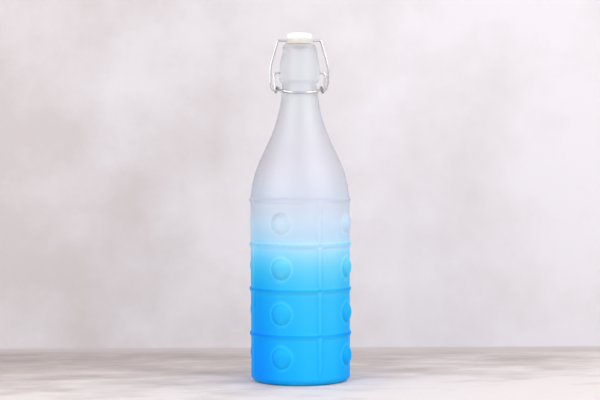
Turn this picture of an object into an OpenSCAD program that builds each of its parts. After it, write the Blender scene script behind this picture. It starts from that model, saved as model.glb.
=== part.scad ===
// Swing top bottle: a one litre moulded glass bottle with a wire closure.
// Millimetres. The origin is the centre of the standing ring, +Z is up, and the
// thumb loop of the closure is at the front, towards -Y.

/* [Body] */
// Outside diameter of the body
body_d = 88; // [76:1:100]
// Height at which the body side and the shoulder cone would meet in a sharp corner
body_h = 178; // [170:1:200]
// Thickness of the glass wall
wall = 3.6; // [2.5:0.1:4.5]
// Radius of the heel, where the side turns into the base
heel_r = 6; // [4:0.5:9]
// Width of the flat ring that the bottle stands on
foot_w = 5; // [3:0.5:8]
// How far the underside is pushed up at its middle
kick_h = 5; // [2:0.5:9]
// Thickness of the glass at the middle of the floor
floor_t = 5; // [4:0.5:8]

/* [Relief] */
// Number of panels round the body, each with one column of domes
panels = 4; // [3:1:6]
// Angle from the front of the bottle to the first upright rib
panel_turn = 16.5; // [0:0.5:60]
// Number of raised rings
rings = 4; // [2:1:4]
// Height of the lowest ring
ring_first_z = 42.6; // [35:0.2:44]
// Distance from one ring to the next
ring_pitch = 39.5; // [34:0.5:40]
// Width of a raised ring or rib at the surface of the body
bead_w = 3.6; // [2.5:0.1:5]
// How far a ring stands out of the body
ring_out = 1.25; // [0.8:0.05:1.6]
// How far an upright rib stands out of the body, less than a ring
rib_out = 1; // [0.5:0.05:1.3]
// Diameter of a dome where it meets the body
dome_d = 19; // [12:0.5:24]
// How far a dome stands out of the body
dome_out = 3.5; // [1.5:0.1:5]

/* [Shoulder and neck] */
// Height of the shoulder cone, between its two sharp corners
shoulder_h = 55; // [48:1:70]
// Radius of the curve from the body into the shoulder cone
shoulder_r = 88; // [50:1:95]
// Outside diameter at the lower sharp corner of the neck
neck_foot_d = 35.8; // [34:0.2:40]
// Outside diameter of the neck just under the finish
neck_top_d = 30.6; // [29:0.2:32]
// Length of the neck, from its lower sharp corner to the finish
neck_h = 30.8; // [28:0.2:40]
// Radius of the curve from the shoulder cone into the neck
neck_r = 130; // [80:1:135]

/* [Finish] */
// Diameter of the thick band that carries the closure
band_d = 35.8; // [34:0.2:40]
// Height of the straight part of the band
band_h = 12.4; // [9:0.2:14]
// Height of the whole finish, from the neck to the lip
finish_h = 35.2; // [32:0.2:40]
// Diameter of the finish below the lip chamfer
crown_d = 29.8; // [27:0.2:32]
// Outside diameter of the flat top of the lip
lip_d = 25.2; // [23:0.2:27]
// Diameter of the mouth
mouth_d = 18; // [16:0.5:19]
// Depth of the closure's pivot sockets below the lip
pivot_drop = 25.8; // [24:0.2:28]
// Depth of each pivot socket in the band
socket_depth = 2.6; // [1.5:0.1:4]

/* [Wires] */
// Diameter of the wire of both the bail and the lever
wire_d = 2; // [1.6:0.1:2.2]
// Gap round a wire in its socket or hole
pin_gap = 0.08; // [0.05:0.01:0.1]
// Gap between the bail's foot and the eye that it turns in
eye_gap = 0.3; // [0.2:0.05:0.5]
// How far the lever's legs stand off the band
leg_off = 5.05; // [4:0.05:7]
// How much closer to the neck each leg is at its foot
leg_lean = 1.2; // [0:0.1:1.5]
// Height from the centre of the eyes up to the pivot
leg_h = 14.8; // [13:0.1:16]
// Depth of the thumb loop's front below the centre of the eyes
loop_sink = 2.9; // [2:0.1:5]
// Gap between the closed thumb loop and the neck
loop_gap = 0.45; // [0.3:0.05:1]
// Radius of the thumb loop's round corners
loop_r = 17; // [12:0.5:17]
// How far the thumb loop is wider than the band
loop_over = 0.4; // [0.4:0.1:2]
// Length of each slanting upper leg of the bail, from the bow to the top bar
bail_upper = 23.75; // [20:0.25:27]
// Length of each slanting lower leg of the bail, from the eye to the bow
bail_lower = 6.25; // [5:0.25:8]
// Gap between the ends of the bail's feet and the neck
foot_gap = 1.2; // [0.6:0.1:2]

/* [Stopper] */
// Gap left between the gasket and the lip in the model
seat_gap = 0.3; // [0.25:0.05:0.5]
// Diameter of the gasket's flange and of the plug's collar
collar_d = 24; // [23:0.2:27]
// Thickness of the gasket's flange
gasket_t = 1; // [0.8:0.1:2]
// Plastic left under and over the bail's hole
hole_skin = 0.55; // [0.4:0.05:1]
// Gap between the gasket's cone and the mouth
mouth_gap = 0.4; // [0.3:0.05:0.8]
// Depth of the gasket's cone in the mouth
cone_h = 4.4; // [3:0.2:5]
// How much narrower the cone is at its lower end, on each side
cone_taper = 1.7; // [1:0.1:2.5]
// Diameter of the plug's stem
stem_d = 9; // [7:0.5:10]
// How far the button under the stem holds the gasket, on each side
button_over = 1.6; // [1:0.1:2]
// Height of the button
button_h = 1.9; // [1.5:0.1:2.5]
// Diameter of the cap
cap_d = 22.4; // [20:0.2:24]
// Height of the cap at its rim
cap_h = 4.4; // [4:0.2:8]
// How much the cap rises from its rim to its middle
crown_h = 0.8; // [0.4:0.1:1.5]
// Diameter of the spigot that the cap snaps onto
spigot_d = 14; // [10:0.5:17]
// Height of the spigot
spigot_h = 3; // [2:0.2:3.4]

/* [Hidden] */
$fn = 96;

eps = 0.01;              // overlap of solids that are joined
arc_step = 3;            // degrees between the points of a rounded corner
body_r = body_d / 2;
wire_r = wire_d / 2;
band_r = band_d / 2;

// Heights of the bottle, from the standing ring up.
neck_z = body_h + shoulder_h;
finish_z = neck_z + neck_h;
lip_z = finish_z + finish_h;
band_chamfer = (band_d - neck_top_d) / 2;
crown_h0 = 2.8;          // straight height of the finish under the lip chamfer
lip_chamfer_h = 2.5;
lip_round = 1;           // rounding of the lip's edges
band_blend_r = 20;       // rounding from the band into the taper above it, outside and inside

// The closure's axes. The eyes lie one eye radius behind the pivots, so that the
// pull of the bail keeps the thumb loop against the neck.
pin_hole_r = wire_r + pin_gap;
pivot_z = lip_z - pivot_drop;
eye_r = wire_d + eye_gap;
eye_z = pivot_z - leg_h;
eye_y = eye_r;
bar_z = lip_z + seat_gap + gasket_t + hole_skin + pin_hole_r;

// Rounding of the bends in the wires, along the centre of the wire.
bend_r = 2.5;
bar_bend_r = 3.6;
eye_bend_r = eye_r - 0.05;

// ---------------------------------------------------------------- helpers

function unit(v) = v / norm(v);
function mirrored(points) = [for (i = [len(points) - 1:-1:0]) [-points[i].x, points[i].y, points[i].z]];

// Points of the corner b of a path a-b-c, rounded to the given radius.
function corner(a, b, c, radius) =
    radius == 0 ? [b] :
    let (
        u = unit(a - b),
        v = unit(c - b),
        half = acos(u * v) / 2,
        centre = b + unit(u + v) * radius / sin(half),
        from = b + u * radius / tan(half) - centre,
        start = atan2(from.y, from.x),
        turn = (180 - 2 * half) * (u.x * v.y - u.y * v.x > 0 ? -1 : 1),
        count = max(2, ceil(abs(turn) / arc_step))
    )
    [for (i = [0:count]) centre + radius * [cos(start + turn * i / count), sin(start + turn * i / count)]];

// A path of [radius, height, rounding] points with every corner rounded.
function rounded(path) = [
    for (i = [0:len(path) - 1])
        let (p = path[i], flat = [p[0], p[1]])
        each i == 0 || i == len(path) - 1 ? [flat] :
            corner([path[i - 1][0], path[i - 1][1]], flat, [path[i + 1][0], path[i + 1][1]], p[2])
];

// A closed solid of revolution inside a path that starts and ends on the axis.
module turned(path) {
    rotate_extrude() polygon(rounded(path));
}

// One straight length of wire.
module rod(from, to, radius) {
    along = to - from;
    flat = norm([along.x, along.y]);
    translate(from)
        rotate([0, atan2(flat, along.z), atan2(along.y, along.x)])
            cylinder(r = radius, h = norm(along));
}

// One bend of wire at the corner b of the path a-b-c.
module bend(a, b, c, radius, bend_radius) {
    u = unit(a - b);
    v = unit(c - b);
    half = acos(u * v) / 2;
    centre = b + unit(u + v) * bend_radius / sin(half);
    x = unit(b + u * bend_radius / tan(half) - centre);
    z = unit(cross(v, u));
    y = cross(z, x);
    multmatrix([
        [x.x, y.x, z.x, centre.x],
        [x.y, y.y, z.y, centre.y],
        [x.z, y.z, z.z, centre.z],
        [0, 0, 0, 1]
    ])
        rotate_extrude(angle = 180 - 2 * half)
            translate([bend_radius, 0]) circle(radius);
}

function setback(a, b, c, bend_radius) = bend_radius / tan(acos(unit(a - b) * unit(c - b)) / 2);

// A wire through the given corners, each bent to its own radius. A bend is a hair thicker than the
// wire, and the straight lengths run a little way into it, so that the joints close cleanly.
module wire(path, bends, radius) {
    last = len(path) - 1;
    bite = 0.15;
    swell = 0.02;
    cut = [
        for (i = [0:last])
            i == 0 || i == last ? 0 : setback(path[i - 1], path[i], path[i + 1], bends[i]) - bite
    ];
    for (i = [0:last - 1]) {
        along = unit(path[i + 1] - path[i]);
        rod(path[i] + along * cut[i], path[i + 1] - along * cut[i + 1], radius);
    }
    for (i = [1:last - 1])
        bend(path[i - 1], path[i], path[i + 1], radius + swell, bends[i]);
}

// ----------------------------------------------------------------- bottle

neck_top_r = neck_top_d / 2;
neck_foot_r = neck_foot_d / 2;
band_top_z = finish_z + band_chamfer + band_h;
crown_z = lip_z - lip_chamfer_h - crown_h0;

// Outside of the bottle above the heel, from the body to the lip.
upper_path = [
    [body_r, heel_r, 0],
    [body_r, body_h, shoulder_r],
    [neck_foot_r, neck_z, neck_r],
    [neck_top_r, finish_z, 0],
    [band_r, finish_z + band_chamfer, 1],
    [band_r, band_top_z, band_blend_r],
    [crown_d / 2, crown_z, 4],
    [crown_d / 2, lip_z - lip_chamfer_h, 0.6],
    [lip_d / 2, lip_z, lip_round],
    [0, lip_z, 0]
];

// Outside radius of the bottle at a height, read from its rounded outline.
function outer_r(z) = lookup(z, [for (p = rounded(upper_path)) [p[1], p[0]]]);

module glass_outside() {
    foot_out_r = body_r - heel_r;
    foot_in_r = foot_out_r - foot_w;
    turned(concat(
        [[0, kick_h, 0], [foot_in_r * 0.55, kick_h, 14], [foot_in_r, 0, 1.5], [foot_out_r + eps, 0, 0],
         [body_r, 0, heel_r - eps]],
        [for (i = [1:len(upper_path) - 1]) upper_path[i]]
    ));
}

// Radius of the circle that, sunk into the body, shows bead_w wide and stands out by the given height.
function bead_r(out) = (bead_w * bead_w / 4 + out * out) / (2 * out);

function ring_z(i) = ring_first_z + i * ring_pitch;
top_ring_z = ring_z(rings - 1);

module raised_rings() {
    for (i = [0:rings - 1])
        translate([0, 0, ring_z(i)])
            rotate_extrude() translate([body_r + ring_out - bead_r(ring_out), 0]) circle(bead_r(ring_out));
}

module raised_ribs() {
    radius = bead_r(rib_out);
    foot_z = heel_r + 4;
    fade = 3;            // height over which a rib's foot runs out into the body
    for (i = [0:panels - 1])
        rotate(panel_turn + i * 360 / panels)
            translate([0, -(body_r + rib_out - radius), foot_z]) {
                translate([0, 0, fade]) cylinder(r = radius, h = top_ring_z - foot_z - fade);
                cylinder(r1 = radius - rib_out - 0.4, r2 = radius, h = fade);
            }
}

module domes() {
    dome_r = (dome_d * dome_d / 4 + dome_out * dome_out) / (2 * dome_out);
    low_z = (ring_first_z + heel_r) / 2;
    for (i = [0:panels - 1], j = [0:rings - 1])
        rotate(panel_turn + (i + 0.5) * 360 / panels)
            translate([0, -(body_r + dome_out - dome_r), j == 0 ? low_z : ring_z(j) - ring_pitch / 2])
                sphere(dome_r);
}

// The room inside the bottle, open at the mouth.
module cavity() {
    mouth_r = mouth_d / 2;
    inner_floor = kick_h + floor_t;
    turned([
        [0, inner_floor, 0],
        [body_r - wall, inner_floor - 2, 9],
        [body_r - wall, body_h, shoulder_r - wall],
        [neck_foot_r - wall, neck_z, neck_r],
        [neck_top_r - wall - 0.6, finish_z - 8, band_blend_r],
        [mouth_r, band_top_z, band_blend_r],
        [mouth_r, lip_z - 1, 0],
        [mouth_r + 1, lip_z, 0],
        [mouth_r + 1, lip_z + 1, 0],
        [0, lip_z + 1, 0]
    ]);
}

// Round socket in each side of the band, with a flared rim, for the lever's pivots.
module pivot_sockets() {
    rim_r = pin_hole_r + 1.3;
    for (side = [0, 180])
        rotate([0, 0, side]) translate([band_r - socket_depth, 0, pivot_z]) rotate([0, 90, 0]) {
            cylinder(r = pin_hole_r, h = socket_depth + 1);
            translate([0, 0, socket_depth - 1.1]) cylinder(r1 = pin_hole_r, r2 = rim_r, h = 1.3);
        }
}

module bottle() {
    color([0.42, 0.76, 0.98, 0.75])
        difference() {
            union() {
                glass_outside();
                raised_rings();
                raised_ribs();
                domes();
            }
            cavity();
            pivot_sockets();
        }
}

// ------------------------------------------------------------------ wires

leg_x = band_r + leg_off;
leg_foot_x = leg_x - leg_lean;
eye_step = (wire_d + 0.1) / 3;       // sideways shift of the wire at each corner of the eye
pivot_end_x = band_r - socket_depth + 0.3;

loop_z = eye_z - loop_sink;
loop_y = -(outer_r(loop_z) + wire_r + loop_gap);
loop_x = band_r + loop_over;
loop_reach = [eye_y - loop_y, eye_z - loop_z];
loop_slope = atan2(loop_reach.y, loop_reach.x) + asin(eye_r / norm(loop_reach));
eye_top_z = loop_z + (eye_y + eye_r - loop_y) * tan(loop_slope);

// The lever: a pivot in its socket, a leg, one turn of wire as the eye, and the thumb loop.
module lever_wire() {
    side = [
        [pivot_end_x, 0, pivot_z],
        [leg_x, 0, pivot_z],
        [leg_foot_x, eye_y - eye_r, eye_z - eye_r],
        [leg_foot_x - eye_step, eye_y + eye_r, eye_z - eye_r],
        [leg_foot_x - 2 * eye_step, eye_y + eye_r, eye_top_z],
        [loop_x, loop_y, loop_z]
    ];
    side_bends = [0, bend_r, eye_bend_r, eye_bend_r, eye_bend_r, loop_r];
    color([0.80, 0.81, 0.82])
        wire(
            concat(side, mirrored(side)),
            concat(side_bends, [for (i = [len(side_bends) - 1:-1:0]) side_bends[i]]),
            wire_r
        );
}

// The bail lies in one plane, which leans back from the bar, over the pivots, to the eyes behind them.
bail_lean = atan2(eye_y, bar_z - eye_z);
bail_len = norm([eye_y, bar_z - eye_z]);
slant = [7, 24] / 25;    // direction of the bail's slanting legs, across and along

// The bail: a top bar through the plug, two bowed legs, and feet that turn in the eyes.
// It is drawn flat, with the bar on the X axis and the legs pointing to -Y, and then stood up.
module bail_wire() {
    ankle_x = leg_foot_x + wire_d + eye_gap;
    bow_x = ankle_x + bail_lower * slant[0];
    foot_x = outer_r(eye_z) + foot_gap;
    side = [
        [foot_x, -bail_len, 0],
        [ankle_x, -bail_len, 0],
        [bow_x, -bail_len + bail_lower * slant[1], 0],
        [bow_x, -bail_upper * slant[1], 0],
        [bow_x - bail_upper * slant[0], 0, 0]
    ];
    side_bends = [0, 1.6, 14, 34, bar_bend_r];
    color([0.80, 0.81, 0.82])
        translate([0, 0, bar_z]) rotate([90 + bail_lean, 0, 0])
            wire(
                concat(side, mirrored(side)),
                concat(side_bends, [for (i = [len(side_bends) - 1:-1:0]) side_bends[i]]),
                wire_r
            );
}

// ---------------------------------------------------------------- stopper

gasket_z = lip_z + seat_gap;
collar_z = gasket_z + gasket_t;
collar_top_z = bar_z + pin_hole_r + hole_skin;
cone_top_r = mouth_d / 2 - mouth_gap;
cone_low_z = gasket_z - cone_h;
stem_r = stem_d / 2;
fit = 0.05;              // gap between stopper pieces that are pushed together

// The plug: a collar with the bail's hole across it, a spigot for the cap, and a stem and button
// for the gasket.
module stopper_plug() {
    color([0.93, 0.92, 0.88])
        difference() {
            turned([
                [0, cone_low_z - fit - button_h, 0],
                [stem_r + button_over, cone_low_z - fit - button_h, 1],
                [stem_r + button_over, cone_low_z - fit, 0.3],
                [stem_r, cone_low_z - fit, 0],
                [stem_r, collar_z, 0],
                [collar_d / 2, collar_z, 0.3],
                [collar_d / 2, collar_top_z, 0.5],
                [spigot_d / 2, collar_top_z, 0],
                [spigot_d / 2, collar_top_z + spigot_h, 0.5],
                [0, collar_top_z + spigot_h, 0]
            ]);
            translate([-collar_d, 0, bar_z]) rotate([0, 90, 0]) cylinder(r = pin_hole_r, h = 2 * collar_d);
        }
}

// The cap: a low dome that hides the plug's spigot.
module stopper_cap() {
    cap_r = cap_d / 2;
    rim_z = collar_top_z + cap_h;
    color("white")
        turned([
            [0, collar_top_z + spigot_h + fit, 0],
            [spigot_d / 2 + fit, collar_top_z + spigot_h + fit, 0],
            [spigot_d / 2 + fit, collar_top_z, 0],
            [cap_r - 0.4, collar_top_z, 0.4],
            [cap_r, rim_z, 1.6],
            [cap_r * 0.55, rim_z + crown_h, 12],
            [0, rim_z + crown_h, 0]
        ]);
}

// The gasket: a thin flange over the lip and a cone in the mouth, stretched over the stem.
module gasket() {
    color([0.86, 0.80, 0.70])
        rotate_extrude()
            polygon(concat(
                [[stem_r + fit, cone_low_z]],
                rounded([
                    [cone_top_r - cone_taper - 1.5, cone_low_z, 0],
                    [cone_top_r - cone_taper, cone_low_z, 0.7],
                    [cone_top_r, gasket_z, 0],
                    [collar_d / 2, gasket_z, 0.35],
                    [collar_d / 2, collar_z, 0.35],
                    [collar_d / 2 - 1, collar_z, 0]
                ]),
                [[stem_r + fit, collar_z]]
            ));
}

bottle();
lever_wire();
bail_wire();
stopper_plug();
stopper_cap();
gasket();
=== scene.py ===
# %% [markdown]
# # A swing top bottle, from frame to finish
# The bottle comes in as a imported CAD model, which fixes every size and every hinge. This script
# gives it the look of the real thing: moulded glass that was frosted all over and then sprayed
# blue from the foot up, bright bent wire, and a small plastic stopper.
# Shapes are worked out in mm and brought to the metres of the frame by MM. +Z is up, and the
# thumb loop of the closure faces -Y.

# %% Load the frame
import math
import bpy
import numpy as np
from mathutils import Matrix


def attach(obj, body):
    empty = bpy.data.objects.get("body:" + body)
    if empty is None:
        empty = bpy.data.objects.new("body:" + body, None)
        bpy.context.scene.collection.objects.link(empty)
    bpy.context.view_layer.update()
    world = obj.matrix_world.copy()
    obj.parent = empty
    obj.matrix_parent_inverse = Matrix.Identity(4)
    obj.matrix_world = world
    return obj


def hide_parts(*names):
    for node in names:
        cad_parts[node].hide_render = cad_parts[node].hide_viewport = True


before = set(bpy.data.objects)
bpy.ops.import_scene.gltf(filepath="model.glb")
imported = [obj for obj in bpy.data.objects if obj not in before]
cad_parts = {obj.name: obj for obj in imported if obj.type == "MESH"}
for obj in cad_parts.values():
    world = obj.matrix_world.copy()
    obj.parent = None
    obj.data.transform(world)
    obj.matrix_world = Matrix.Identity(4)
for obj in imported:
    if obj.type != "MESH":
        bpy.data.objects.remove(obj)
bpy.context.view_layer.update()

scene = bpy.context.scene
MM = 0.001

# %% [markdown]
# ## Three tools for shaping
# A turned or moulded piece is a grid of points that closes round the Z axis, row by row from one
# pole to the other. A ring has no poles and closes both ways. A bent wire is a circle carried
# along a path. All of them need outlines with rounded corners, because nothing that comes out of
# a mould or a bending jig has a sharp one.

# %% Rounded outlines
def unit(v):
    """Each vector divided by its own length."""
    return v / np.linalg.norm(v, axis=-1, keepdims=True)


def round_corners(corners, radii, step=4.0):
    """A path with every corner replaced by an arc.

    Where two straight lines meet at the angle 2h, an arc of radius R touches both at R / tan(h)
    from the corner, and its centre lies on the bisector at R / sin(h). The arc is sampled every
    step degrees. Works in the plane and in space.
    """
    corners = [np.asarray(c, float) for c in corners]
    path = [corners[0][None]]
    for a, b, c, radius in zip(corners, corners[1:], corners[2:], radii[1:]):
        u, v = unit(a - b), unit(c - b)
        half = math.acos(np.clip(u @ v, -1, 1)) / 2
        if radius == 0 or half > 1.5707:
            path.append(b[None])
            continue
        centre = b + unit(u + v) * radius / math.sin(half)
        x = unit(b + u * radius / math.tan(half) - centre)
        end = unit(b + v * radius / math.tan(half) - centre)
        y = unit(end - (end @ x) * x)
        turn = math.pi - 2 * half
        t = np.linspace(0, turn, max(3, int(math.degrees(turn) / step) + 2))[:, None]
        path.append(centre + radius * (np.cos(t) * x + np.sin(t) * y))
    path.append(corners[-1][None])
    return np.concatenate(path)


# %% Surfaces that close round the Z axis
AROUND = 96


def new_piece(name, points, faces):
    """An object at the origin with a smooth shaded mesh of the given points and faces."""
    mesh = bpy.data.meshes.new(name)
    mesh.from_pydata(points.tolist(), [], faces)
    mesh.polygons.foreach_set("use_smooth", np.ones(len(faces), bool))
    mesh.update()
    piece = bpy.data.objects.new(name, mesh)
    scene.collection.objects.link(piece)
    print(f"{name}: {len(points)} points, {len(faces)} faces")
    return piece


def lathe_grid(name, grid, parts=None):
    """A closed surface from a grid of points, rows x columns x 3.

    Each row is a closed ring: its last point joins its first. The first and last rows hold one
    place only, so each becomes one vertex. Seen from above, the columns run anticlockwise. So a
    band whose rows climb faces away from the axis, and one whose rows go down, as inside the
    bottle, faces the axis. Along a wire, the way forward takes the place of up.
    parts gives the material number of every band of faces.
    """
    rows, cols = grid.shape[:2]
    points = np.concatenate([grid[0, :1], grid[1:-1].reshape(-1, 3), grid[-1, :1]])
    here = 1 + np.arange(cols) + cols * np.arange(rows - 3)[:, None]
    right = 1 + (np.arange(cols) + 1) % cols + cols * np.arange(rows - 3)[:, None]
    quads = np.stack([here, right, right + cols, here + cols], -1).reshape(-1, 4)
    first = np.stack([np.zeros(cols, int), 1 + (np.arange(cols) + 1) % cols, 1 + np.arange(cols)], -1)
    top, base = len(points) - 1, 1 + cols * (rows - 3)
    last = np.stack([np.full(cols, top), base + np.arange(cols), base + (np.arange(cols) + 1) % cols], -1)
    piece = new_piece(name, points, first.tolist() + quads.tolist() + last.tolist())
    if parts is not None:
        piece.data.polygons.foreach_set("material_index", np.repeat(np.asarray(parts, np.int32), cols))
    return piece


def revolve(corners, radii, step):
    """Points, rows x columns x 3, of a rounded (radius, height) outline, in mm, turned round Z."""
    line = round_corners(corners, radii, step) * MM
    angle = np.linspace(0, 2 * math.pi, AROUND, endpoint=False)
    r, z = line[:, :1], line[:, 1:]
    return np.stack([r * np.cos(angle), r * np.sin(angle), z + 0 * angle], -1)


def turned(name, corners, radii, step=4.0):
    """A surface of revolution. Its outline runs from one point of the axis to another."""
    return lathe_grid(name, revolve(corners, radii, step))


def turned_ring(name, corners, radii, step=6.0):
    """A ring: a closed outline, clockwise seen with Z up, turned round Z.

    The last point of the outline meets the first, and the last column meets the first too, so
    the surface closes both ways like a torus.
    """
    grid = revolve(corners, radii, step)[:-1]
    rows = len(grid)
    i, j = np.meshgrid(np.arange(rows), np.arange(AROUND), indexing="ij")
    down, right = (i + 1) % rows, (j + 1) % AROUND
    faces = [i * AROUND + j, i * AROUND + right, down * AROUND + right, down * AROUND + j]
    return new_piece(name, grid.reshape(-1, 3), np.stack(faces, -1).reshape(-1, 4).tolist())


# %% A circle carried along a path
def bent_wire(name, path, radius, spacing=0.45, sides=20, trim=0.3):
    """A round wire along a path, all in mm.

    At each point the circle lies across the path. Its first axis is carried from point to point
    by taking away the part that runs along the wire, which keeps the tube from twisting. At a
    distance d below trim from either end the radius shrinks by trim - sqrt(trim^2 - (trim - d)^2),
    a quarter circle, so that the cut ends are flat with a rounded edge.
    """
    length = np.concatenate([[0], np.cumsum(np.linalg.norm(np.diff(path, axis=0), axis=1))])
    end = trim * np.array([0, 0.13, 0.5, 1])
    count = int((length[-1] - 2 * trim) / spacing) + 2
    s = np.concatenate([end[:3], np.linspace(trim, length[-1] - trim, count), length[-1] - end[2::-1]])
    p = np.stack([np.interp(s, length, path[:, k]) for k in range(3)], -1)
    along = unit(np.gradient(p, s, axis=0))
    side = np.zeros_like(p)
    side[0] = unit(np.cross(along[0], [0.3, 0.5, 0.8]))
    for i in range(1, len(p)):
        side[i] = unit(side[i - 1] - (side[i - 1] @ along[i]) * along[i])
    over = np.cross(along, side)
    inset = np.clip(trim - np.minimum(s, length[-1] - s), 0, None)
    girth = radius - trim + np.sqrt(trim**2 - inset**2)
    a = np.linspace(0, 2 * math.pi, sides, endpoint=False)[:, None]
    rings = p[:, None] + (np.cos(a) * side[:, None] + np.sin(a) * over[:, None]) * girth[:, None, None]
    ends = [p[:1, None].repeat(sides, 1), p[-1:, None].repeat(sides, 1)]
    return lathe_grid(name, np.concatenate([ends[0], rings, ends[1]]) * MM)


# %% [markdown]
# ## The bottle
# The real bottle is blown in a two part mould. The mould cuts rings, ribs and round studs into
# the body, and hot glass never fills a sharp groove, so every raised line has a soft foot, and
# the lines run into each other with small fillets. A boolean of beads and balls would leave
# creases there. So the whole wall is one grid round the axis, and the relief is a height that
# is added to its radius: a function of the angle and the height alone.
# The rows and columns lie close together only where the relief needs them.

# %% Outline of the glass, outside and inside
BODY_R = 44
outside = [(0, 5), (18.2, 5), (33, 0), (38, 0), (BODY_R, 0), (BODY_R, 178), (17.9, 233), (15.3, 263.8),
           (17.9, 266.4), (17.9, 278.8), (14.9, 293.7), (14.9, 296.5), (12.6, 299.0)]
outside_r = [0, 14, 1.5, 1.5, 5.9, 88, 130, 1.2, 1.0, 20, 4, 0.8, 1.0]
inside = [(10, 299.0), (9, 298.0), (9, 278.8), (11.1, 255.8), (14.3, 233), (40.4, 178), (40.4, 8.4), (0, 10)]
inside_r = [0.4, 0.8, 20, 20, 130, 84.4, 9, 0]
outline = round_corners(outside + inside, outside_r + inside_r)
lip_row = int(np.argmax(outline[:, 1] >= 298.99))
print(f"outline: {len(outline)} points, outside up to number {lip_row}")

# %% [markdown]
# ## Relief of the body
# Rings and ribs share one soft cross-section, and what decides the height at a point is its
# distance from the nearest of them. Taking a smooth minimum of the distances, in place of the
# plain one, rounds the corners where they cross, the way the mould does.

# %% Heights of rings, ribs, domes and pivot sockets
RINGS = 42.6 + 39.5 * np.arange(4)
DOMES = np.array([24.3, 62.35, 101.85, 141.35])
DOME_R, DOME_H = 9.5, 3.5
LINE_R, RING_H, RIB_H = 2.75, 1.25, 1.05
RELIEF_LO, RELIEF_HI = 8.0, 168.0
TURN_DEG = 16.5
TURN = math.radians(TURN_DEG)
PIVOT_Z = 273.2
SOCKET_ROWS, SOCKET_CLEAR = 3, 3.2


def smooth_min(a, b, k):
    """The smaller of a and b, less a parabola of depth k / 4 where they differ by under k."""
    h = np.clip(k - np.abs(a - b), 0, None) / k
    return np.minimum(a, b) - h * h * k / 4


def bell(x, centre, width):
    """exp(-((x - centre) / width)^2)."""
    return np.exp(-(((x - centre) / width) ** 2))


def body_relief(angle, z):
    """Height of the relief in mm, and the painted light and shade on it, at an angle and a height.

    A line of height t stands t (1 - (d / LINE_R)^2)^1.5 high at the distance d, and fades in
    over the foot of a rib. A dome is DOME_H (1 - (rho / DOME_R)^2.6) high at rho from
    its centre, and where it meets the wall, a parabola of width 2k replaces the corner.
    The painted light and shade is 0 on the plain wall, 1 where the shade is deepest and -1 where
    the light is brightest, as a sum of bell curves given as a thicker or thinner coat. It paints
    shade above a ring, beside a rib and inside a dome's rim, and light below a ring, on top of a
    rib, low on a dome and outside its rim. It stands in for the way the glass relief bends light,
    and the light painted low on a dome takes back the shade that falls there.
    """
    quarter = math.pi / 2
    across = (np.mod(angle - TURN + quarter / 2, quarter) - quarter / 2) * BODY_R
    above = z[..., None] - RINGS
    ring = np.min(np.abs(above), -1)
    above = np.take_along_axis(above, np.argmin(np.abs(above), -1)[..., None], -1)[..., 0]
    rib = np.abs(across) + 60 * np.clip((z - RINGS[-1]) / 5, 0, 1)
    d = np.clip(smooth_min(ring, rib, 1.6), 0, None)
    foot = np.clip(z / 3 - 2.6, 0, 1) ** 0.7
    line = np.where(ring < rib, RING_H, RIB_H) * foot * np.clip(1 - (d / LINE_R) ** 2, 0, 1) ** 1.5
    aside = (np.mod(angle - TURN, quarter) - quarter / 2) * BODY_R
    over = z[..., None] - DOMES
    over = np.take_along_axis(over, np.argmin(np.abs(over), -1)[..., None], -1)[..., 0]
    rho = np.hypot(aside, over)
    dome = DOME_H * (1 - (rho / DOME_R) ** 2.6)
    k = 0.35
    dome = np.where(dome > k, dome, np.where(dome < -k, 0, (dome + k) ** 2 / (4 * k)))
    # Painted shade above each ring, beside each rib and inside each dome's rim, darker to the dome's left;
    # painted light below each ring, on each rib, outside each rim and over the lower half of a dome, all
    # given as a change in the coat's thickness.
    coat_with_painted_light = 0.8 * bell(above, 0.8, 1.0) - 0.32 * bell(above, -1.9, 0.9)
    coat_with_painted_light = coat_with_painted_light + foot * (0.22 * bell(rib, 2.4, 0.7) - 0.12 * bell(rib, 0.3, 1.2)) * (ring > 3)
    coat_with_painted_light = coat_with_painted_light + (0.2 - 0.2 * aside / DOME_R) * bell(rho, 8.4, 0.8) - 0.45 * bell(rho, 10.2, 0.9)
    coat_with_painted_light = coat_with_painted_light - 0.5 * np.clip(-over / 8, 0, 1) * (rho < 9) * bell(aside, 1.5, 6.0)
    return np.maximum(line, dome), np.clip(coat_with_painted_light, -1, 1)


def socket_depth(angle, z, r):
    """Depth of the two sockets for the lever's pivots: a blind hole, flared at its rim."""
    rho = np.hypot(r * np.cos(angle), z - PIVOT_Z)
    hole = np.clip((1.5 - rho) / 0.35, 0, 1)
    rim = np.clip((2.6 - rho) / 1.4, 0, 1)
    return 1.9 * hole * hole * (3 - 2 * hole) + 0.6 * rim * rim * (3 - 2 * rim)


# %% One grid for the whole wall
def bands(lo, hi, coarse, fine):
    """Heights or angles from lo to hi: coarse steps, and finer ones round each (centre, half width, step)."""
    marks = [np.arange(lo, hi, coarse)]
    for centre, half, step in fine:
        marks[0] = marks[0][np.abs(marks[0] - centre) > half + 0.4 * coarse]
        marks.append(np.linspace(centre - half, centre + half, int(round(2 * half / step)) + 1))
    return np.unique(np.concatenate(marks).round(4))


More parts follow.
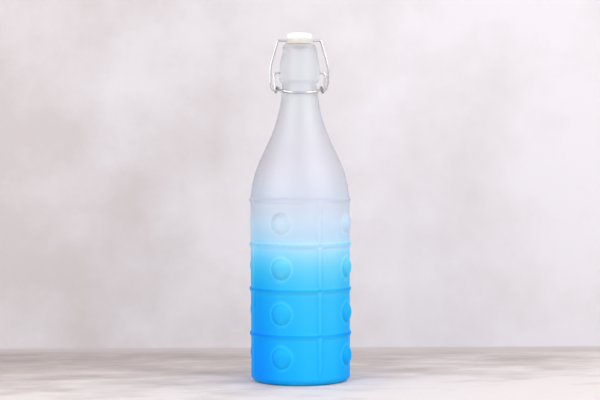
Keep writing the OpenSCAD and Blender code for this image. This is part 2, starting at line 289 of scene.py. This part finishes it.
fine_rows = [(z, 3.2, 0.46) for z in RINGS] + [(z, 10.2, 1.02) for z in DOMES]
wall_z = bands(RELIEF_LO, RELIEF_HI, 3.2, sorted(fine_rows))
out_line = outline[: lip_row + 1]
rising = out_line[int(np.argmin(out_line[:, 1])) :]
wall = np.stack([np.interp(wall_z, rising[:, 1], rising[:, 0]), wall_z], -1)
pivot_z = np.linspace(PIVOT_Z - SOCKET_ROWS, PIVOT_Z + SOCKET_ROWS, 21)
pivot = np.stack([np.interp(pivot_z, rising[:, 1], rising[:, 0]), pivot_z], -1)
low = out_line[out_line[:, 1] < RELIEF_LO - 1]
mid = out_line[(out_line[:, 1] > RELIEF_HI + 0.5) & (out_line[:, 1] < PIVOT_Z - SOCKET_CLEAR)]
high = out_line[out_line[:, 1] > PIVOT_Z + SOCKET_CLEAR]
profile = np.concatenate([low, wall, mid, pivot, high, outline[lip_row + 1 :]])
outer_rows = len(low) + len(wall) + len(mid) + len(pivot) + len(high)
# Fine columns in each quarter: the sockets at 0, the rib at TURN_DEG, the domes 45 further on.
columns = bands(-5.5, 84.5, 3.0, [(0, 4.5, 0.82), (TURN_DEG, 5.0, 0.62), (TURN_DEG + 45, 14.2, 1.15)])
azimuth = np.radians(np.concatenate([columns + 90 * k for k in range(4)]))
print(f"wall grid: {len(profile)} rows, {len(azimuth)} columns")

# %% [markdown]
# The angle is counted from the front, which is -Y, towards +X, so a point at the radius r lies
# at (r sin a, -r cos a). Faces of the outside get material 0 and those of the inside 1, and the
# painted light and shade of the relief rides on the points as the attribute thick.

# %% Raise the relief and close the shell
r = profile[:, :1] + 0 * azimuth
z = profile[:, 1:] + 0 * azimuth
a = azimuth + 0 * r
outer = (np.arange(len(profile)) < outer_rows)[:, None]
height, thick = body_relief(a, z)
on_body = outer & (z > RELIEF_LO) & (z < RELIEF_HI)
r = r + np.where(on_body, height, 0)
at_pivot = outer & (np.abs(z - PIVOT_Z) < SOCKET_CLEAR)
r = r - np.where(at_pivot, socket_depth(a, z, profile[:, :1]), 0)
grid = np.stack([r * np.sin(a), -r * np.cos(a), z], -1) * MM
sides = np.where(np.arange(len(profile) - 1) < outer_rows, 0, 1)
bottle = lathe_grid("moulded_bottle", grid, sides)
# Painted light and shade of the relief, kept on the body only.
thick = np.where(on_body, thick, 0)[1:-1].ravel()
mark = bottle.data.attributes.new("thick", "FLOAT", "POINT")
mark.data.foreach_set("value", np.concatenate([[0], thick, [0]]).astype(np.float32))
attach(bottle, "bottle")
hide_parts("bottle")

# %% [markdown]
# ## The two wires
# The closure has just two lengths of spring wire. The lever is sprung into the two sockets of
# the finish. Each of its legs comes down, makes most of a turn round the end of the bail, and
# runs forward into the thumb loop. The bail holds the stopper. Its feet sit a little behind the line
# of the pivots when the bottle is shut, and that is what keeps it shut.
# A wire is best drawn as its centre line, the way it is bent on a jig, corner by corner.

# %% Centre line of the lever
WIRE, EYE_R = 1.0, 2.3
EYE = np.array([0, EYE_R, 258.4])


def mirror(half):
    """The path, followed back on the other side of the bottle."""
    return np.concatenate([half, half[::-1] * [-1, 1, 1]])


leg = round_corners([(15.7, 0, PIVOT_Z), (22.95, 0, PIVOT_Z), (21.75, 0, 259.4)], [0, 2.3, 0])
front = np.array([18.3, -17.5, 255.5])
reach = EYE[1:] - front[1:]
slope = math.atan2(reach[1], reach[0]) + math.asin(EYE_R / math.hypot(*reach))
coil_end = 3 * math.pi / 2 + slope
t = np.linspace(0, coil_end, 60)
coil_yz = [EYE[1] - EYE_R * np.cos(t), EYE[2] - EYE_R * np.sin(t)]
coil = np.stack([21.72 - 2.15 * t / coil_end, *coil_yz], -1)
loop = round_corners([coil[-1], front, front * [-1, 1, 1]], [0, 17, 0], 3)[:-1]
lever_path = mirror(np.concatenate([leg, coil, loop[1:]]))
print("lever wire:", round(float(np.linalg.norm(np.diff(lever_path, axis=0), axis=1).sum())), "mm long")

# %% Centre line of the bail
BAR_Z, BAIL_H = 301.93, 43.59
foot = [(17.1, 0), (24.05, 0), (25.8, 6.0), (25.8, 20.8), (19.15, BAIL_H)]
flat = round_corners(foot, [0, 1.5, 14, 34, 3.6], 3)
lean = math.asin(EYE_R / BAIL_H)
back = BAIL_H - flat[:, 1]
half_bail = np.stack([flat[:, 0], back * math.sin(lean), BAR_Z - back * math.cos(lean)], -1)
bail_path = mirror(half_bail)
print("bail wire:", round(float(np.linalg.norm(np.diff(bail_path, axis=0), axis=1).sum())), "mm long")


# %% Bend the wires
lever = bent_wire("lever", lever_path, WIRE)
bail = bent_wire("bail", bail_path, WIRE)
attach(lever, "lever")
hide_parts("lever_wire")
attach(bail, "bail")
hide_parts("bail_wire")

# %% [markdown]
# ## The stopper
# A white cap snaps onto a plug of natural plastic. The bail's bar runs through the plug, and a
# soft gasket is stretched over its stem. The plug keeps its CAD solid, because the hole across
# it is already right. The cap and the gasket are turned again with softer edges.

# %% Cap and gasket
CAP_Z = 303.56
cap_line = [(0, CAP_Z + 3.05), (7.05, CAP_Z + 3.05), (7.05, CAP_Z), (10.9, CAP_Z), (11.2, CAP_Z + 4.3),
            (7.0, CAP_Z + 5.2), (0, CAP_Z + 5.2)]
cap = turned("cap", cap_line, [0, 0.3, 0.2, 0.4, 2.0, 14, 0])
HOLE_R, RIM_R, RIM_Z = 4.55, 12.0, 299.3
seal_line = [(HOLE_R, 297.0), (HOLE_R, 294.9), (6.9, 294.9), (8.6, RIM_Z), (RIM_R, RIM_Z),
             (RIM_R, 300.3), (HOLE_R, 300.3), (HOLE_R, 297.0)]
gasket = turned_ring("seal", seal_line, [0, 0, 0.7, 0.3, 0.35, 0.35, 0, 0])
for piece, node, slot in ((cap, "stopper_cap", "cap"), (gasket, "gasket", "rubber")):
    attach(piece, "stopper")
    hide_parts(node)


# %% [markdown]
# ## Finishes
# Each finish rests on one Principled shader. Its noise patterns are read from Object coordinates,
# so that they stay put on the piece from every side. What goes through colour() is given as it
# looks on a screen, from 0 to 255, and turned into the linear values that light adds up in.

# %% Shader helpers
def colour(red, green, blue):
    """Linear colour of an sRGB one: ((c + 0.055) / 1.055)^2.4 above 0.04, c / 12.92 below."""
    c = np.array([red, green, blue]) / 255
    linear = np.where(c > 0.04045, ((c + 0.055) / 1.055) ** 2.4, c / 12.92)
    return (*linear.tolist(), 1.0)


def finish(name, **sockets):
    """A new material with one Principled shader, whose sockets are set by name.

    Returns it, its links, a function that adds a node, and the shader.
    """
    material = bpy.data.materials.new(name)
    material.use_nodes = True
    nodes, links = material.node_tree.nodes, material.node_tree.links
    shader = nodes["Principled BSDF"]
    for socket, value in sockets.items():
        shader.inputs[socket.replace("_", " ")].default_value = value

    def add(kind, inputs=(), **settings):
        """One node. inputs holds (socket, value or output to link) pairs."""
        node = nodes.new(kind)
        for key, value in settings.items():
            setattr(node, key, value)
        for socket, value in inputs:
            if isinstance(value, bpy.types.NodeSocket):
                links.new(value, node.inputs[socket])
            else:
                node.inputs[socket].default_value = value
        return node

    return material, links, add, shader


def ramp(add, value, stops):
    """A colour ramp through (position, colour) stops."""
    node = add("ShaderNodeValToRGB", [("Fac", value)])
    band = node.color_ramp
    while len(band.elements) > 1:
        band.elements.remove(band.elements[-1])
    band.elements[0].position, band.elements[0].color = stops[0]
    for position, tint in stops[1:]:
        band.elements.new(position).color = tint
    return node.outputs["Color"]


# %% [markdown]
# ## Frosted glass, sprayed blue
# The bottle is dipped in acid, or sprayed with a satin lacquer, until no clear glass shows.
# Light still comes through, but nothing can be made out behind it. The blue is a second coat.
# It is dense at the foot, thins out in a mist at half height and is gone at the shoulder. A dye
# that takes the share 1 - c of some colour of light in one layer lets through c^t in t layers, so
# one colour raised to the power of the coat's thickness gives every blue in the fade, from deep
# to pale. The same power also carries painted shade: the blue is deeper towards both sides and
# most on the left, for the light that comes from the right and the darker edges. The frosting
# under it is not one white either, but a little greyer low down than at the shoulder.
# Two noises push the fade up and down. Noise averages about one half, so half of what they add
# is taken off again where the heights are brought to the range from 0 to 1.

# %% Outside of the bottle
WANDER, SPECKLE = 0.014, 0.007
FADE_H, HALF_W = 250, 45
# The share of red, green and blue light that one layer of the dye lets through.
DYE = (0.014, 0.485, 0.99, 1)
coat_with_painted_light, links, add, shader = finish("frosted_blue_fade", Roughness=0.45, IOR=1.45, Specular_IOR_Level=0.03)
place = add("ShaderNodeTexCoord").outputs["Object"]
axes = add("ShaderNodeSeparateXYZ", [("Vector", place)])
drift = add("ShaderNodeTexNoise", [("Vector", place), ("Scale", 14.0), ("Detail", 2.0)])
mist = add("ShaderNodeTexNoise", [("Vector", place), ("Scale", 900.0), ("Detail", 3.0), ("Roughness", 0.7)])
wander = add("ShaderNodeMath", [(0, drift.outputs["Fac"]), (1, WANDER), (2, axes.outputs["Z"])],
             operation="MULTIPLY_ADD")
speckled = add("ShaderNodeMath", [(0, mist.outputs["Fac"]), (1, SPECKLE), (2, wander.outputs[0])],
               operation="MULTIPLY_ADD")
shift = (WANDER + SPECKLE) / 2
level = add("ShaderNodeMapRange", [("Value", speckled.outputs[0]), ("From Min", shift),
                                   ("From Max", shift + FADE_H * MM)])
layers = ramp(add, level.outputs["Result"], [(z / FADE_H, (t, t, t, 1)) for z, t in (
    (0, 0.5), (4, 0.98), (74, 0.70), (100, 0.40), (118, 0.19), (130, 0.10), (150, 0.035), (190, 0.0))])
# Painted shade across the bottle: the coat counts thicker towards both sides and most on the left, for the
# light that comes from the right and the darker edges.
across = add("ShaderNodeMapRange", [("Value", axes.outputs["X"]), ("From Min", -HALF_W * MM),
                                    ("From Max", HALF_W * MM)])
side_shade_stops = ((-HALF_W, 1.4), (-39, 1.8), (-22, 1.24), (0, 1.02), (26, 1.04), (40, 1.38))
painted_side_shade = ramp(add, across.outputs["Result"], [((x + HALF_W) / (2 * HALF_W), (t / 2, t / 2, t / 2, 1))
                                              for x, t in side_shade_stops])
twice = add("ShaderNodeMath", [(0, painted_side_shade), (1, 2.0)], operation="MULTIPLY")
depth_and_side_shade = add("ShaderNodeMath", [(0, layers), (1, twice.outputs[0])], operation="MULTIPLY")
dye = add("ShaderNodeGamma", [("Color", DYE), ("Gamma", depth_and_side_shade.outputs[0])])
body = ramp(add, level.outputs["Result"], [(z / FADE_H, colour(*tint)) for z, tint in (
    (0, (222, 225, 230)), (100, (208, 208, 216)), (120, (218, 208, 224)), (145, (241, 239, 251)),
    (FADE_H, (231, 234, 238)))])
frosted = add("ShaderNodeMix", [(0, 1.0), (6, dye.outputs[0]), (7, body)], data_type="RGBA",
              blend_type="MULTIPLY")
# Painted light and shade of the relief: the colour is raised to a power that grows where the attribute is
# positive, which deepens it, and shrinks where it is negative, which pales it.
relief = add("ShaderNodeAttribute", attribute_name="thick")
power = add("ShaderNodeMath", [(0, relief.outputs["Fac"]), (1, 0.45), (2, 1.0)], operation="MULTIPLY_ADD")
with_painted_relief_light = add("ShaderNodeGamma", [("Color", frosted.outputs[2]), ("Gamma", power.outputs[0])])
links.new(with_painted_relief_light.outputs[0], shader.inputs["Base Color"])
clear = add("ShaderNodeMapRange", [("Value", layers), ("From Max", 0.16), ("To Min", 0.82), ("To Max", 0.08)])
links.new(clear.outputs["Result"], shader.inputs["Transmission Weight"])
frost = add("ShaderNodeTexNoise", [("Vector", place), ("Scale", 2600.0), ("Detail", 2.0)])
bump = add("ShaderNodeBump", [("Height", frost.outputs["Fac"]), ("Strength", 0.12), ("Distance", 0.0002)])
links.new(bump.outputs["Normal"], shader.inputs["Normal"])

# %% Inside of the bottle
inner, links, add, shader = finish("glass_inside", Roughness=0.08, IOR=1.47, Transmission_Weight=1.0)
shader.inputs["Base Color"].default_value = colour(252, 253, 254)
bottle.data.materials.append(coat_with_painted_light)
bottle.data.materials.append(inner)

# %% [markdown]
# ## Wire, plastic and rubber
# The wire is drawn steel, bright but not polished: fine lines run along it, and they widen its
# highlights. A fine noise in its tone and roughness stands in for them. The cap is glossy white,
# the plug a milky plastic that lets a little light in, and the gasket a cream coloured rubber.

# %% Steel wire
steel, links, add, shader = finish("drawn_steel", Metallic=1.0, Roughness=0.2,
                                   Specular_Tint=(0.25, 0.25, 0.26, 1))
place = add("ShaderNodeTexCoord").outputs["Object"]
grain = add("ShaderNodeTexNoise", [("Vector", place), ("Scale", 320.0), ("Detail", 3.0)])
tone = ramp(add, grain.outputs["Fac"], [(0.35, colour(200, 201, 203)), (0.65, colour(213, 214, 215))])
links.new(tone, shader.inputs["Base Color"])
rough = add("ShaderNodeMapRange", [("Value", grain.outputs["Fac"]), ("To Min", 0.14), ("To Max", 0.22)])
links.new(rough.outputs["Result"], shader.inputs["Roughness"])
for wire in (lever, bail):
    wire.data.materials.append(steel)

# %% Cap, plug and gasket
def clouded(name, scale, detail, darker, lighter, **sockets):
    """A finish whose colour drifts between two close tints, through noise of the given scale."""
    material, links, add, shader = finish(name, **sockets)
    place = add("ShaderNodeTexCoord").outputs["Object"]
    cloud = add("ShaderNodeTexNoise", [("Vector", place), ("Scale", scale), ("Detail", detail)])
    tone = ramp(add, cloud.outputs["Fac"], [(0.3, colour(*darker)), (0.7, colour(*lighter))])
    links.new(tone, shader.inputs["Base Color"])
    return material


white = clouded("white_cap", 160.0, 2.0, (228, 229, 232), (236, 236, 239), Roughness=0.22, Coat_Weight=0.2)
milky = clouded("milky_plug", 220.0, 3.0, (186, 184, 179), (196, 193, 188), Roughness=0.4,
                Subsurface_Weight=0.3, Subsurface_Radius=(1, 0.95, 0.85), Subsurface_Scale=0.001)
rubber = clouded("cream_rubber", 300.0, 3.0, (206, 199, 188), (214, 208, 198), Roughness=0.55)
cap.data.materials.append(white)
gasket.data.materials.append(rubber)
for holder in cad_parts["stopper_plug"].material_slots:
    holder.material = milky

# %% [markdown]
# ## Table and wall
# A pale floor and a pale wall close behind it, both faintly blotched, keep the picture calm and
# give the glass something light to gather. Both carry painted shade: darker towards the left, and
# the floor also towards the wall. The wall shows from its front only, so that it does not hide
# the bottle from a camera that goes round to the back.

# %% Floor and backdrop
TOWARDS = math.radians(-6)
forward = np.array([-math.sin(TOWARDS), math.cos(TOWARDS), 0])
right = np.array([math.cos(TOWARDS), math.sin(TOWARDS), 0])


def sheet_of(name, corners):
    """A flat four cornered surface through the given points."""
    mesh = bpy.data.meshes.new(name)
    mesh.from_pydata([tuple(c) for c in corners], [], [(0, 1, 2, 3)])
    piece = bpy.data.objects.new(name, mesh)
    scene.collection.objects.link(piece)
    return piece


FLOOR_HALF, WALL_AWAY, WALL_HALF, WALL_H = 4, 0.25, 3, 2.5
floor_corners = [(forward * y + right * x) * FLOOR_HALF for x, y in ((-1, 1), (-1, -1), (1, -1), (1, 1))]
floor = sheet_of("floor", floor_corners)
far, half, up = forward * WALL_AWAY, right * WALL_HALF, np.array([0, 0, WALL_H])
wall = sheet_of("backdrop", [far - half, far + half, far + half + up, far - half + up])


# %% Plaster of the backdrop
def blotched(add, place, stretch, scale, detail=6.0):
    """Noise over coordinates that are squeezed by (x, y, z), which stretches its blots."""
    squeezed = add("ShaderNodeMapping", [("Vector", place), ("Scale", stretch),
                                         ("Rotation", (0, 0, -TOWARDS))])
    noise = add("ShaderNodeTexNoise", [("Vector", squeezed.outputs[0]), ("Scale", scale),
                                       ("Detail", detail), ("Roughness", 0.6)])
    return noise.outputs["Fac"]


plaster, links, add, shader = finish("pale_plaster", Roughness=0.85)
place = add("ShaderNodeTexCoord").outputs["Object"]
axes = add("ShaderNodeSeparateXYZ", [("Vector", place)])
blots = blotched(add, place, (1, 1, 1), 8.0, 12.0)
# Painted shade: the plaster turns darker towards the left, away from the key light. The blots are its own.
across = add("ShaderNodeMath", [(0, axes.outputs["X"]), (1, 0.7), (2, blots)], operation="MULTIPLY_ADD")
plaster_and_painted_shade = ramp(add, across.outputs[0], [(0.28, colour(178, 171, 172)), (0.5, colour(190, 186, 189)),
                                      (0.72, colour(199, 196, 200))])
links.new(plaster_and_painted_shade, shader.inputs["Base Color"])
side = add("ShaderNodeNewGeometry")
gone = add("ShaderNodeBsdfTransparent")
seen = add("ShaderNodeMixShader", [("Fac", side.outputs["Backfacing"]), (1, shader.outputs[0]),
                                   (2, gone.outputs[0])])
links.new(seen.outputs[0], plaster.node_tree.nodes["Material Output"].inputs["Surface"])
wall.data.materials.append(plaster)

# %% Boards of the floor
boards, links, add, shader = finish("pale_boards", Roughness=0.7)
place = add("ShaderNodeTexCoord").outputs["Object"]
along = add("ShaderNodeMapping", [("Vector", place), ("Rotation", (0, 0, -TOWARDS))])
axes = add("ShaderNodeSeparateXYZ", [("Vector", along.outputs[0])])
streaks = blotched(add, place, (1.0, 2.2, 1), 12.0, 14.0)
# Painted shade: the boards turn darker towards the wall and towards the left. The stretched streaks are their
# own grain.
nearer = add("ShaderNodeMath", [(0, axes.outputs["Y"]), (1, -1.2), (2, streaks)],
             operation="MULTIPLY_ADD")
streaks_and_painted_shade = add("ShaderNodeMath", [(0, axes.outputs["X"]), (1, 0.35), (2, nearer.outputs[0])],
           operation="MULTIPLY_ADD")
tone = ramp(add, streaks_and_painted_shade.outputs[0], [(0.08, colour(146, 135, 131)), (0.34, colour(172, 162, 160)),
                                   (0.6, colour(200, 193, 192))])
# Painted shade in the corner: over the last 8 cm before the wall the boards turn to a darker tone.
edge = add("ShaderNodeMapRange", [("Value", axes.outputs["Y"]), ("From Min", 0.17), ("From Max", 0.25)],
           interpolation_type="SMOOTHSTEP")
with_corner_shade = add("ShaderNodeMix", [(0, edge.outputs["Result"]), (6, tone), (7, colour(176, 168, 169))],
            data_type="RGBA")
links.new(with_corner_shade.outputs[2], shader.inputs["Base Color"])
floor.data.materials.append(boards)

# %% [markdown]
# ## Light and camera
# One large soft light stands to the right and in front, a weaker one to the left, and a pale
# sky, darker towards the horizon, fills the rest. The camera looks from a little above the foot
# of the shoulder with a long lens, from 1.5 m, which keeps the upright lines upright. The focal
# length and the height of the horizon above the middle of the image are in pixels of an image
# 600 wide.

# %% Soft light
def soft_light(name, place, size, power, target=(0, 0, 0.16)):
    """A square area light that faces a point."""
    lamp = bpy.data.lights.new(name, "AREA")
    lamp.size, lamp.energy = size, power
    holder = bpy.data.objects.new(name, lamp)
    scene.collection.objects.link(holder)
    z = unit(np.array(place, float) - np.array(target, float))
    x = unit(np.cross([0, 0, 1.0], z))
    y = np.cross(z, x)
    basis = np.eye(4)
    basis[:3, :3], basis[:3, 3] = np.stack([x, y, z], 1), place
    holder.matrix_world = Matrix(basis.tolist())
    return holder


soft_light("key", (1.3, -1.1, 1.2), 2.0, 33)
soft_light("fill", (-1.4, -0.9, 0.7), 1.8, 24)
world = bpy.data.worlds.new("studio")
world.use_nodes = True
nodes, links = world.node_tree.nodes, world.node_tree.links
towards = nodes.new("ShaderNodeTexCoord")
height = nodes.new("ShaderNodeSeparateXYZ")
sky = nodes.new("ShaderNodeValToRGB")
links.new(towards.outputs["Generated"], height.inputs[0])
links.new(height.outputs["Z"], sky.inputs["Fac"])
sky.color_ramp.elements[0].color = (0.62, 0.62, 0.64, 1)
sky.color_ramp.elements[1].position, sky.color_ramp.elements[1].color = 0.35, (0.99, 0.99, 1.0, 1)
links.new(sky.outputs["Color"], nodes["Background"].inputs["Color"])
nodes["Background"].inputs["Strength"].default_value = 1.12
scene.world = world
scene.view_settings.view_transform = "Standard"

# %% Camera
DISTANCE, EYE_HEIGHT = 1.511, 0.205
WIDTH, FOCAL, HORIZON = 600, 1700, 50
SENSOR = 36
ROLL = math.radians(-0.23)
lens = bpy.data.cameras.new("camera")
lens.sensor_width, lens.lens = SENSOR, SENSOR * FOCAL / WIDTH
camera = bpy.data.objects.new("camera", lens)
scene.collection.objects.link(camera)
pitch = math.atan(HORIZON / FOCAL)
camera.location = (DISTANCE * math.sin(TOWARDS), -DISTANCE * math.cos(TOWARDS), EYE_HEIGHT)
tilt = Matrix.Rotation(math.pi / 2 - pitch, 4, "X")
turn = Matrix.Rotation(TOWARDS, 4, "Z") @ tilt @ Matrix.Rotation(ROLL, 4, "Z")
camera.matrix_world = Matrix.Translation(camera.location) @ turn
scene.camera = camera
